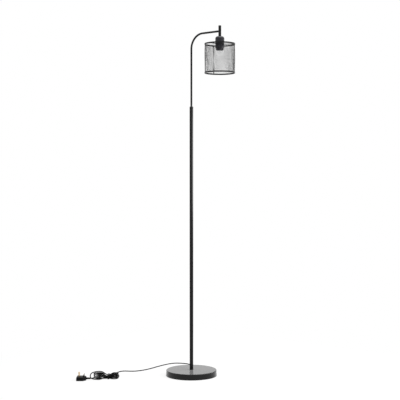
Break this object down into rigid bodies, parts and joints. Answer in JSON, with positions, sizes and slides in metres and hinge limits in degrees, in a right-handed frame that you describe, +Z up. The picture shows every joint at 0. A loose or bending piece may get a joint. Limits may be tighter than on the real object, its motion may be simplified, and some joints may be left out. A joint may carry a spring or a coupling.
{
  "type": "floor lamp",
  "caption": "Black floor lamp with a round weighted base, straight pole, swan-neck arm and a hanging lampholder in an open wire-mesh drum shade, with a mains lead and plug.",
  "frame": {"origin": "centre of the base's underside, on the pole's axis and on the floor", "axes": "+Z up along the pole, +X along the arm towards the shade"},
  "size_m": [0.6142, 0.6503, 1.69],
  "materials": {
    "black_paint": "satin",
    "cord_pvc": "satin",
    "plug_plastic": "matte",
    "holder_plastic": "satin",
    "brass": "polished",
    "zinc_steel": "satin",
    "cast_filling": "matte",
    "pad_foam": "matte",
    "terminal_ceramic": "satin"
  },
  "bodies": {
    "stand": {"base_cover": "black_paint", "base_weight": "cast_filling", "base_pad": "pad_foam", "base_washer": "zinc_steel", "base_nut": "zinc_steel", "base_stud": "zinc_steel", "pole_foot": "zinc_steel", "pole_lower": "black_paint", "pole_middle": "black_paint", "pole_upper": "black_paint", "pole_coupler_1": "zinc_steel", "pole_coupler_2": "zinc_steel", "swivel_bush": "black_paint", "flex_stand": "cord_pvc", "cord_grommet": "cord_pvc", "cord_free": "cord_pvc", "cord_hank": "cord_pvc", "cord_tail": "cord_pvc", "cord_tie": "plug_plastic", "plug_body": "plug_plastic", "earth_pin": "brass", "live_pins": "brass", "pin_sleeves": "plug_plastic", "plug_relief": "cord_pvc"},
    "arm": {"arm_tube": "black_paint", "head_rod": "black_paint", "head_nipple": "zinc_steel", "head_lock_nut": "zinc_steel", "holder_cap": "holder_plastic", "holder_body": "holder_plastic", "screw_shell": "brass", "centre_contact": "brass", "terminal_block": "terminal_ceramic", "terminal_screws": "brass", "shade_top_rim": "black_paint", "shade_bottom_rim": "black_paint", "shade_mesh": "black_paint", "mesh_seam": "black_paint", "shade_spider": "black_paint", "flex_arm": "cord_pvc", "lead_wires": "cord_pvc"},
    "shade_ring": {"shade_ring": "holder_plastic"},
    "fuse_carrier": {"fuse_carrier": "plug_plastic", "fuse": "terminal_ceramic"}
  },
  "joints": [
    {"name": "arm_swivel", "type": "hinge", "parent": "stand", "child": "arm", "pos_m": [0, 0, 1.307], "axis": [0, 0, 1], "range_deg": [-170, 170]},
    {"name": "shade_ring_turn", "type": "hinge", "parent": "arm", "child": "shade_ring", "pos_m": [0.176, 0, 1.592], "axis": [0, 0, 1], "range_deg": [-360, 0]},
    {"name": "fuse_carrier_slide", "type": "slide", "parent": "stand", "child": "fuse_carrier", "axis": [0, 0, 1], "range_m": [0, 0.012]}
  ]
}
